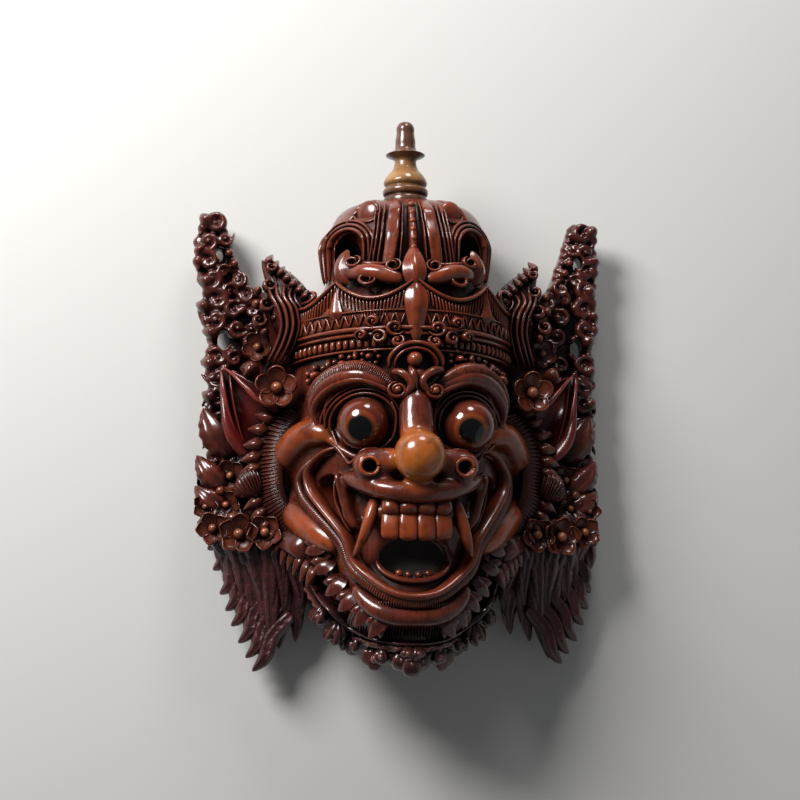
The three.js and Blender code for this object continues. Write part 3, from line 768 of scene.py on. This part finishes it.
bmesh.ops.spin(bm, geom=verts + edges, cent=(0, 0, 0), axis=(0, 0, 1), angle=2 * math.pi,
               steps=48, use_merge=True)
bmesh.ops.holes_fill(bm, edges=[edge for edge in bm.edges if edge.is_boundary], sides=60)
bmesh.ops.rotate(bm, cent=(0, 0, 0), matrix=Matrix.Rotation(-math.pi / 2, 3, "X"), verts=bm.verts)
bmesh.ops.translate(bm, vec=(0, spire_foot, 62), verts=bm.verts)
for vert in bm.verts:
    height = (vert.co.y - spire_foot) / spire_rise
    vert[bm.verts.layers.float["rubbed"]] = 0.85 * math.exp(-((height - 0.4) / 0.2) ** 4)
finished(to_object(bm, "spire"), spire_wood)

# The wings: a plate of the same block on each side, stained darker than the face, cut to leaf
# points at its edge and pierced through, with curls, buds and beads carved over it.
wing_wood = stained_wood(
    "wing_wood", (0.005, 0.0015, 0.0015), (0.052, 0.0095, 0.007), (0.105, 0.018, 0.011),
    (0.20, 0.042, 0.018), (0.36, 0.12, 0.05), sheen_low=0.2, sheen_high=0.36,
)
plate_back = 9
plate_thick = 14
plate_edge = 148.5
carved_depth = 4
carving_edge = 146
rim_beads = 46
inner_beads = 13
wing_voxel = 0.95
wing_faces_kept = 0.42


def curl_on(bm, side, x, y, z, r, start, turn):
    """A leaf that winds up on a bead, with its point free."""
    first = math.radians(start)
    outward_way = Vector((math.cos(first), math.sin(first), 0))
    along = turn * Vector((-outward_way.y, outward_way.x, 0))
    centre = Vector((x, y, 0))
    line = [centre + outward_way * r * 1.35 - along * r * 1.5,
            centre + outward_way * r * 1.25 - along * r * 0.8]
    for step in range(14):
        angle = first + math.radians(turn * 36 * step)
        line.append(centre + Vector((math.cos(angle), math.sin(angle), 0)) * r * (1 - step / 17))
    for step, point in enumerate(line):
        point.x = side * min(point.x, carving_edge)
        point.z = z + min(step, 3) - 2
    relief(bm, line, r * 0.85, 12, leafy, around=10, rings=44)
    button(bm, Vector((side * x, y, z + 2)), r * 0.26, 5, 10, 8, outward=forward)


def outline_at(points, before, share, after):
    """A spot on an outline, the way along it there, and the way out from it."""
    run = (line_point(points, after) - line_point(points, before)).normalized()
    return line_point(points, share), run, Vector((-run.y, run.x, 0))


for side in (-1, 1):
    bm = new_carving()
    low, high = (6, 4) if side > 0 else (0, 0)
    inner = [(82, -60), (84, 20), (72, 62), (84, 82), (103, 76), (113, 84), (118, 98), (123, 112),
             (127, 126), (131, 134)]
    outer = [(139, 128), (144, 118), (147, 106), (146, 94), (139, 82), (138, 72), (141, 62),
             (138, 52), (134, 42), (136, 30), (135, 18), (134, 6), (135, -8), (134, -20),
             (132, -34), (134, -48), (135, -62), (136, -78), (133, -94), (128, -108)]
    outer = [(min(x + (low if y < 80 else high), plate_edge), y) for x, y in outer]
    edge = inner + outer + [(98, -114), (66, -112)]
    corners = [bm.verts.new((side * x, y, plate_back)) for x, y in edge]
    ground = bm.faces.new(corners)
    raised = bmesh.ops.extrude_face_region(bm, geom=[ground])
    bmesh.ops.translate(bm, vec=(0, 0, plate_thick - carved_depth), verts=[
        item for item in raised["geom"] if isinstance(item, bmesh.types.BMVert)])
    front = plate_back + plate_thick

    rim = [Vector((x, y, 0)) for x, y in outer]
    for i in range(rim_beads):
        foot = line_point(rim, (i + 0.5) / rim_beads)
        size = 3.4 + 1.3 * math.sin(i * 2.4)
        centre = Vector((side * min(foot.x + 1, carving_edge), foot.y,
                         front - 3 + 2 * math.sin(i * 1.3)))
        button(bm, centre, size, 6, 12, 8, outward=forward)
    for i in range(0, 30, 3):
        foot, run, away = outline_at(rim, (i + 0.4) / 30, (i + 0.5) / 30, (i + 0.6) / 30)
        away *= 8
        tip = foot + away - run * 6
        root = Vector((side * (foot.x - away.x * 0.6), foot.y - away.y * 0.6, front - 4))
        tip = Vector((side * min(tip.x, plate_edge - 1), tip.y, front - 3))
        bend = Vector((side * (tip.y - root.y) * 0.12, 0, 5))
        relief(bm, [root * 1.3 - tip * 0.3, root.lerp(tip, 0.5) + bend, tip], 10, 15, leafy,
               around=12, rings=16)
    edge_in = [Vector((x, y, 0)) for x, y in inner[4:]]
    for i in range(inner_beads):
        foot = line_point(edge_in, (i + 0.5) / inner_beads)
        button(bm, Vector((side * (foot.x + 2), foot.y - 1, front - 3)), 3 + (i % 3) * 0.6, 6,
               12, 8, outward=forward)
    for x, y, r, start, turn in (
        (134, 126, 7, 60, 1), (139, 112, 7, 330, -1), (139, 98, 7, 20, 1), (136, 84, 7.5, 330, -1),
        (132, 69, 8, 20, 1), (133, 54, 7.5, 340, -1), (131, 27, 7, 20, 1), (130, 12, 7, 330, -1),
        (130, -3, 7, 20, 1), (129, -18, 7, 330, -1), (128, -33, 7.5, 20, 1), (131, -48, 7, 330, -1),
        (130, -98, 7, 330, -1), (127, 114, 5, 180, 1), (128, 90, 5, 160, -1), (117, 84, 6, 100, 1),
        (123, 76, 5.5, 200, -1), (112, 73, 6.5, 60, 1), (120, 62, 6.5, 120, -1),
        (107, 62, 6, 30, 1), (117, 48, 6.5, 210, 1), (107, 48, 5.5, 300, -1),
        (119, 26, 6, 140, -1), (121, 12, 5, 60, 1), (118, -46, 6, 60, 1), (98, -56, 6, 0, 1),
        (114, -100, 7, 30, 1), (100, -102, 7, 90, -1),
    ):
        wider = low if x > 125 and y < 80 else high if y > 80 else 0
        curl_on(bm, side, min(x + wider, carving_edge + 1 - r), y, front, r, start, turn)
    for x, y, r in ((120, 96, 3.4), (124, 104, 3.2), (133, 104, 3), (127, 70, 3.6), (114, 62, 3.4),
                    (126, 46, 3.4), (110, 38, 4), (124, 34, 3), (126, 19, 3.4), (124, 4, 3),
                    (124, -12, 3.4), (122, -26, 4), (123, -56, 3.4), (112, -54, 3.4),
                    (108, -104, 4), (122, -106, 4)):
        button(bm, Vector((side * (x + high), y, front + 2)), r, r * 1.3, 14, 10, outward=forward)
    wing = fused(to_object(bm, "wing_left" if side < 0 else "wing_right"), wing_voxel, 1)
    bm = new_carving()
    for x, y, size in ((131 + 0.9 * high, 104, 0.7), (127 + low, 40, 1.1)):
        plug(bm, (side * x, y, 20), (4 * size, 7.4 * size, 80), 20)
    cut_away(wing, to_object(bm, "piercer"), wing_faces_kept)
    finished(wing, wing_wood)

# The ears: broad leaves with a scooped face, a thick rolled edge above and two fine ones below,
# carved in front of the wings and stained a deeper red.
ear_wood = stained_wood(
    "ear_wood", (0.010, 0.0014, 0.0014), (0.085, 0.006, 0.0045), (0.19, 0.016, 0.009),
    (0.26, 0.035, 0.018), (0.36, 0.10, 0.05), streak=0.3,
)


def scooped(depth):
    """A cut for a stroke: its face hollowed out across the middle."""
    def cut(share, wide, high):
        return wide, high * (1 - depth * (1 - wide * wide)) if high > 0 else high
    return cut


def beside(side, points):
    """Points given for the right side, on either side."""
    return [Vector((side * x, y, z)) for x, y, z in points]


bm = new_carving()
for side in (-1, 1):
    spine = beside(side, ((82, -46, 30), (99, -28, 38), (113, -6, 38), (128, 18, 30)))
    relief(bm, spine, 50, 36, leafy, around=48, rings=56, cut=scooped(1.3))
    edge = beside(side, ((80, -8, 44), (92, -10, 50), (103, -7, 51), (112, 2, 49), (121, 12, 43),
                         (128.5, 19, 34)))
    relief(bm, edge, 7, 12, tapering, around=16, rings=56, rubbed=0.2)
    for shrink, width in ((1, 4), (0.8, 2.4)):
        edge = [(100 + (x - 100) * shrink, y, z) for x, y, z in
                ((129, 17, 34), (127, 2, 38), (123, -16, 39), (116, -34, 37), (105, -50, 33))]
        relief(bm, beside(side, edge), width, 9, around=12, rings=48)
finished(to_object(bm, "ears"), ear_wood)

# The leaves beside the crown: on each side five bent ribs carved over a pointed leaf, with small
# leaves along its inner edge, and curls and beads between it and the wing, in the wings' wood.
bm = new_carving()
for side in (-1, 1):
    spine = beside(side, ((70, 26, 40), (76, 50, 44), (86, 76, 42), (101, 97, 36)))
    relief(bm, spine, 34, 40, leafy, around=28, rings=48, cut=scooped(0.3))
    for shift, lift, rubbed in ((-7.5, 55, 0.05), (-3.4, 58, 0.2), (0.6, 59.5, 0.3),
                                (4.6, 58, 0.15), (8.6, 55, 0.05)):
        rib = [(x + shift, y, lift + z) for x, y, z in
               ((88, 20, -12), (82, 32, -4), (79, 44, 0), (81, 56, 1), (86, 66, -2),
                (84 + shift * 0.6, 76, -8))]
        relief(bm, beside(side, rib), 3.5, 13, around=12, rings=48, rubbed=rubbed)
    for i in range(7):
        x, y, z = 72 + i * 4.2, 66 + i * 4.6, 54 - i * 2
        leaf = beside(side, ((x, y - 4, z), (x - 1, y + 1, z + 4), (x - 4, y + 7, z - 2)))
        relief(bm, leaf, 6.5, 12, leafy, around=10, rings=14)
    for x, y, r in ((98, 62, 5.5), (96, 76, 5), (95, 89, 4), (103, 50, 5), (72, 62, 4)):
        curl_on(bm, side, x, y, 48, r, 30 * r, 1)
    for x, y, r in ((105, 62, 3.6), (99, 42, 3.4), (104, 72, 3), (92, 52, 3.2), (91, 70, 3)):
        button(bm, Vector((side * x, y, 47)), r, 8, 12, 10, outward=forward, rubbed=0.2)
finished(to_object(bm, "crown_leaves"), wing_wood)

# The flowers: five cupped petals with raised rims about a rubbed bead, undercut to a short stem,
# with ribbed fans, buds and combed leaves between them, in the wings' wood.
bm = new_carving()


def combed(share, wide, high):
    return wide, high * (0.86 + 0.14 * math.cos(6 * math.acos(min(max(wide, -1), 1))))


def flower(bm, side, x, y, z, radius, turn=0.0, lean=0.0, ruffle=0.0):
    """Five dished petals with raised rims, tipped up round a bead."""
    centre = Vector((side * x, y, z))
    facing = Matrix.Rotation(side * lean, 3, "Y")
    for petal in range(5):
        ball = new_carving()
        bmesh.ops.create_uvsphere(ball, u_segments=28, v_segments=14, radius=1)
        spun = Matrix.Rotation(turn + petal * 2 * math.pi / 5, 3, "Z")
        tipped = Matrix.Rotation(-0.42, 3, "Y")
        for vert in ball.verts:
            out = vert.co.x ** 2 + vert.co.y ** 2
            ripple = 1 + ruffle * out * math.cos(5 * math.atan2(vert.co.y, vert.co.x))
            dish = 0.42 * out ** 1.8 * (0.3 + 0.35 * (vert.co.x + 1)) - 0.14
            vert.co.z = dish + (0.1 if vert.co.z > 0 else -0.28 - 0.3 * (1 - out))
            vert.co = tipped @ Vector((vert.co.x * 0.5 * ripple, vert.co.y * 0.44 * ripple,
                                       vert.co.z * 0.5))
            vert.co = centre + facing @ (spun @ (vert.co + Vector((0.54, 0, 0.02)))) * radius
        join_ball(bm, ball, 0.3)
    button(bm, centre + facing @ Vector((0, 0, radius * 0.05)), radius * 0.27, radius * 0.36,
           20, 14, outward=forward, rubbed=0.85)
    stroke(bm, [centre + Vector((0, 0, -radius * 1.6)), centre + Vector((0, 0, -radius * 0.8)),
                centre + Vector((0, 0, -radius * 0.1))], radius * 0.9, radius * 0.9,
           around=16, rings=12, outward=lambda point: Vector((1, 0, 0)))


for side in (-1, 1):
    flower(bm, side, 91, 0, 62, 15.5, 0.3, 0.12)
    flower(bm, side, 103, 33, 38, 11.5, 0.9, 0.3)
    for x, y, z, r in ((104, -77, 35, 14), (124, -80, 32, 11), (121, -59, 30, 12),
                       (137, -66, 24, 9), (97, -100, 46, 13), (115, -101, 43, 14.5),
                       (133, -97, 38, 12), (138, -81, 31, 9.5)):
        flower(bm, side, x, y, z, r, x * 0.1, 0.15, 0.06)
    for x, y, z, r in ((110, -92, 37, 6), (119, -90, 37, 4.6), (98, -93, 39, 4.8),
                       (111, -62, 38, 4.4), (133, -76, 30, 4), (128, -70, 33, 3.4)):
        button(bm, Vector((side * x, y, z)), r, r, outward=forward, rubbed=0.35)
    fan = beside(side, ((96, -62, 36), (108, -66, 46), (119, -74, 38)))
    relief(bm, fan, 22, 16, leafy, around=24, rings=110, cut=hatched(13, 0.24, -2))
    leaf = beside(side, ((104, 8, 44), (110, 15, 50), (116, 17, 42)))
    relief(bm, leaf, 13, 12, leafy, around=14, rings=24)
    for x, y, tip_x, tip_y, width in ((118, -46, 141, -10, 24), (122, -70, 145, -44, 18),
                                      (120, -84, 146, -66, 18), (120, -94, 144, -92, 18)):
        root, tip = Vector((side * x, y, 26)), Vector((side * tip_x, tip_y, 26))
        relief(bm, [root, root.lerp(tip, 0.5) + Vector((side * 3, 0, 4)), tip], width, 13, leafy,
               around=30, rings=28, rubbed=0.06,
               cut=lambda share, wide, high: (wide * (1 + 0.06 * math.cos(share * 44)),
                                              combed(share, wide, high)[1]))
finished(to_object(bm, "flowers"), wing_wood)

# The fringe round the cheeks: short hairs cut close together on a raised bed, with a row of
# ridged leaf points beyond, in the wings' wood.
hairs = 150
bm = new_carving()
cheek_edge = [Vector((x, y, 0)) for x, y in
              ((78, -14), (90, -34), (93, -56), (91, -76), (81, -95), (68, -108), (56, -120))]
for side in (-1, 1):
    bed = [Vector((side * (point.x + 5), point.y, 38 if point.y > -100 else 56))
           for point in cheek_edge]
    relief(bm, bed, 24, 14, around=14, rings=40)
    for i in range(hairs):
        share = i / (hairs - 1)
        foot, _, away = outline_at(cheek_edge, share - 0.01, share, share + 0.01)
        depth = 44 if foot.y > -100 else 44 + (-100 - foot.y) * 1.2
        length = 15 + 2 * math.sin(i * 2.1)
        start = Vector((side * (foot.x - 9 * away.x), foot.y - 9 * away.y, depth + 8))
        end = Vector((side * (foot.x + length * away.x), foot.y + length * away.y - 3, depth - 8))
        relief(bm, [start, start.lerp(end, 0.5) + Vector((0, 0, 2.5)), end], 1.7, 6, leafy,
               around=6, rings=9)
    for i in range(18):
        share = (i + 0.5) / 18
        foot, run, away = outline_at(cheek_edge, share, share, (i + 0.6) / 18)
        depth = 40 if foot.y > -100 else 40 + (-100 - foot.y) * 1.2
        start = Vector((side * (foot.x + 4 * away.x), foot.y + 4 * away.y, depth))
        end = start + Vector((side * (18 * away.x + 5 * run.x), 18 * away.y + 7 * run.y, 2))
        relief(bm, [start, start.lerp(end, 0.5) + Vector((0, 0, 4)), end], 9.5, 8, leafy,
               around=14, rings=16, rubbed=0.1, cut=ridged)
finished(to_object(bm, "cheek_fringe"), wing_wood)

# The jaw: a collar of pointed leaves, each with a sharp ridge, and the short beard cut in fine
# lines below the chin, in the wings' wood.
chin_row = -169
beard = 47
beard_half_width = 33
lip_lines = 33
lip_half_width = 21
bm = new_carving()
jaw = [Vector((x, y, 0)) for x, y in ((60, -108), (54, -124), (44, -138), (34, -149), (22, -158))]
for side in (-1, 1):
    for i in range(6):
        foot, _, away = outline_at(jaw, i / 5 - 0.05, i / 5, i / 5 + 0.05)
        start = on_head(side * foot.x * 0.92, foot.y + 2, -1)
        end = start + Vector((side * away.x * 17, away.y * 17 - 4, -5))
        bend = start.lerp(end, 0.5) + Vector((0, 0, 2))
        stroke(bm, [start, bend, end], 17, 9, leafy, around=16, rings=24, cut=ridged)
        for notch in (-1, 1):
            stroke(bm, [start, bend + Vector((notch * 3, notch * 3 * side, 0)),
                        end.lerp(start, 0.25) + Vector((notch * 5, notch * 5 * side, -1))], 8, 7,
                   leafy, around=12, rings=18, cut=ridged)


def under_chin(x, y, off):
    """A point beneath the chin, where the head itself curves away."""
    point = on_head(x, max(y, chin_row), off)
    point.y = y
    return point


stroke(bm, [under_chin(x, y, 1) for x, y in ((-36, -160), (-18, -170), (0, -173), (18, -170),
                                           (36, -160))], 17, 16, around=20, rings=48)
for i in range(beard):
    x = (i / (beard - 1) * 2 - 1) * beard_half_width
    rise = (x / beard_half_width) ** 2 * 8
    stroke(bm, [under_chin(x, -164 + rise, 7), under_chin(x, -170 + rise, 9.5),
                under_chin(x * 1.04 + math.sin(i * 2.1) * 0.8, -180 + rise - 1.5 * (i % 3), 5)],
           2, 4.5, tapering, around=8, rings=14)
for i in range(lip_lines):
    x = (i / (lip_lines - 1) * 2 - 1) * lip_half_width
    stroke(bm, on_side(1, [(x, -149.5, 6.5), (x, -152, 7.4), (x * 1.02, -155, 6)]), 1, 2.6,
           around=6, rings=8)
finished(to_object(bm, "jaw_leaves"), wing_wood)

# The garland: a notched strap under the jaw with a plain one inside it, and below them a row of
# three-lobed petals, each under a bud, with a larger drop in the middle. Stained nearly black.
drop_wood = stained_wood(
    "drop_wood", (0.004, 0.002, 0.002), (0.022, 0.007, 0.007), (0.07, 0.014, 0.011),
    (0.13, 0.04, 0.032), (0.32, 0.16, 0.13), sheen_low=0.12, sheen_high=0.26, least_coat=0.6,
)
bm = new_carving()
strap = [(64, -118, 2), (61, -130, 3), (55, -143, 4), (45, -157, 5), (32, -168, 5),
         (16, -177, 5), (0, -180, 5)]
lowest_tip = -196


def strap_line(wider, lower, raised):
    return mirrored([(x * wider, y - lower, off + raised) for x, y, off in strap], under_chin)


def drop_swell(share):
    return math.sin(math.pi * share ** 1.3) ** 0.6


stroke(bm, strap_line(0.97, -1.6, 2), 3.6, 12, around=12, rings=120)
stroke(bm, strap_line(1.03, 2, 1), 5.4, 12, around=12, rings=420, rubbed=0.4,
       cut=hatched(30, 0.35))
for side in (-1, 1):
    for row, count, length, lift in ((0, 5, 21, 0), (1, 5, 13, 6)):
        for i in range(count):
            foot = line_point([Vector(point) for point in strap],
                              0.3 + 0.7 * (i + 0.4 + row * 0.45) / count)
            root = under_chin(side * foot.x, foot.y - 1, lift)
            hang = length * (0.95 + 0.1 * math.sin(i * 2.6))
            tip = root + Vector((side * foot.x * 0.1, -hang, -2))
            tip.y = max(tip.y, lowest_tip)
            for spread in (-1, 0, 1) if row == 0 else (0,):
                lobe = tip + Vector((spread * 6, 4.5 * abs(spread), -abs(spread)))
                stroke(bm, [root, root.lerp(lobe, 0.55) + Vector((0, 0, 3)), lobe], 11 - row, 10,
                       drop_swell, around=16, rings=14, rubbed=0.15, cut=scooped(0.5))
            button(bm, root.lerp(tip, 0.6) + Vector((0, 0, 4)), 3.4 - row, 4, 16, 12, rubbed=0.6)
middle = under_chin(0, -178, 3)
for x, length, width, lift in ((-8, 18, 11, 0), (8, 18, 11, 0), (0, 22.5, 11, 2), (-4, 11, 8, 6),
                               (5, 11, 8, 6)):
    root = middle + Vector((x * 0.6, 0, lift))
    tip = middle + Vector((x, -length, lift - 3))
    stroke(bm, [root, root.lerp(tip, 0.6) + Vector((0, 0, 4)), tip], width + 2, 11,
           drop_swell, around=20, rings=20, rubbed=0.12, cut=scooped(0.35))
    button(bm, root.lerp(tip, 0.6) + Vector((0, 0, 5)), 2.4, 3, 14, 10, rubbed=0.55)
finished(to_object(bm, "garland"), drop_wood)

# The hair: four layers of combed flat locks on each side, with their ends cut free, and eight
# shorter ones at the outer edge, under a duller and more purple stain.
hair_wood = stained_wood(
    "hair_wood", (0.008, 0.002, 0.002), (0.058, 0.013, 0.013), (0.105, 0.028, 0.03),
    (0.15, 0.052, 0.05), (0.2, 0.12, 0.15), sheen_low=0.2, sheen_high=0.4, streak=0.85,
    least_coat=0.15, hairy=True,
)
bm = new_carving()
hair_edge = 143
hair_roots = beside(1, ((60, -92, 44), (84, -86, 40), (108, -84, 36), (128, -80, 30)))
hair_ends = {
    -1: ((64, -148), (79, -176), (94, -200), (104, -187), (114, -165), (122, -143), (131, -112)),
    1: ((70, -148), (88, -170), (109, -193), (121, -184), (132, -163), (139, -140), (145, -110)),
}


def lock_swell(share):
    return math.sin(math.pi * (0.1 + 0.9 * share) ** 0.8) ** 0.75


for side in (-1, 1):
    ends = [Vector((x, y, 38 - 2 * i)) for i, (x, y) in enumerate(hair_ends[side])]
    for count, reach, lift, width in ((9, 1.0, -9, 20), (10, 0.87, -4, 17), (9, 0.72, 0, 16),
                                      (8, 0.54, 3, 14)):
        for i in range(count):
            share = (i + 0.5) / count
            root, end = line_point(hair_roots, share), line_point(ends, share)
            end = root.lerp(end, reach * (0.93 - 0.07 * math.sin(i * 2.3 + count)))
            swing = 4 + 2 * math.sin(i * 1.7)
            points = []
            for step in range(7):
                part = step / 6
                point = root.lerp(end, part)
                point.x += swing * math.sin(math.pi * part * 1.6)
                point.x = side * min(point.x, hair_edge)
                point.z += lift - 8 * part ** 2 - 6 * (1 - part) ** 3
                points.append(point)
            relief(bm, points, width, 16 - 4 * (lift > -5), lock_swell, around=32, rings=28,
                   cut=combed)
    for i in range(8):
        tip = line_point(ends, 0.4 + 0.6 * i / 7) + Vector((5, 2, -14))
        along = Vector((-0.46, 0.88, 0.16))
        length = 46 - 2.5 * i
        line = [tip + along * length + Vector((-6, 0, 2)), tip + along * length * 0.6,
                tip + along * length * 0.28 + Vector((-2.5, -2, 3)), tip]
        for point in line:
            point.x = side * min(point.x, hair_edge)
        relief(bm, line, 13, 13, lock_swell, around=28, rings=24, cut=combed)
finished(to_object(bm, "hair_tufts"), hair_wood)

# The floor that the mask lies on, the camera at the photograph's angle, and soft studio light.
bpy.ops.mesh.primitive_plane_add(size=6, location=(0, 0, -0.0004))
floor = bpy.context.object
floor.name = "floor"
pale = bpy.data.materials.new("pale_floor")
pale.use_nodes = True
pale.node_tree.nodes["Principled BSDF"].inputs["Base Color"].default_value = (0.58, 0.565, 0.54, 1)
pale.node_tree.nodes["Principled BSDF"].inputs["Roughness"].default_value = 0.7
floor.data.materials.append(pale)

turned, tipped = math.radians(-7.5), math.radians(-9)
towards = Vector((math.sin(turned) * math.cos(tipped), math.sin(tipped),
                  math.cos(turned) * math.cos(tipped)))
aim = Vector((0, 0, 0.05))
distance = 1.3
camera = bpy.data.objects.new("camera", bpy.data.cameras.new("camera"))
bpy.context.scene.collection.objects.link(camera)
right = (-towards).cross(Vector((0, 1, 0))).normalized()
camera.matrix_world = Matrix.Translation(aim + towards * distance) @ Matrix(
    (right, towards.cross(right), towards)).transposed().to_4x4()
camera.data.lens = 82.16
camera.data.shift_x = -0.004
camera.data.shift_y = -0.0088
bpy.context.scene.camera = camera

for name, spot, watts, size in (
    ("key", (-0.85, 0.8, 0.8), 32, 0.65), ("fill", (1.5, -0.9, 0.6), 3.5, 2.4),
    ("top", (0.15, 1.2, 0.5), 7, 0.4),
):
    lamp = bpy.data.objects.new(name, bpy.data.lights.new(name, "AREA"))
    lamp.data.energy = watts
    lamp.data.shape = "DISK"
    lamp.data.size = size
    lamp.location = spot
    lamp.rotation_euler = (aim - Vector(spot)).to_track_quat("-Z", "Y").to_euler()
    bpy.context.scene.collection.objects.link(lamp)
room = bpy.data.worlds.new("room")
room.use_nodes = True
room.node_tree.nodes["Background"].inputs["Color"].default_value = (0.8, 0.85, 0.9, 1)
room.node_tree.nodes["Background"].inputs["Strength"].default_value = 0.13
bpy.context.scene.world = room
bpy.context.scene.view_settings.view_transform = "Standard"
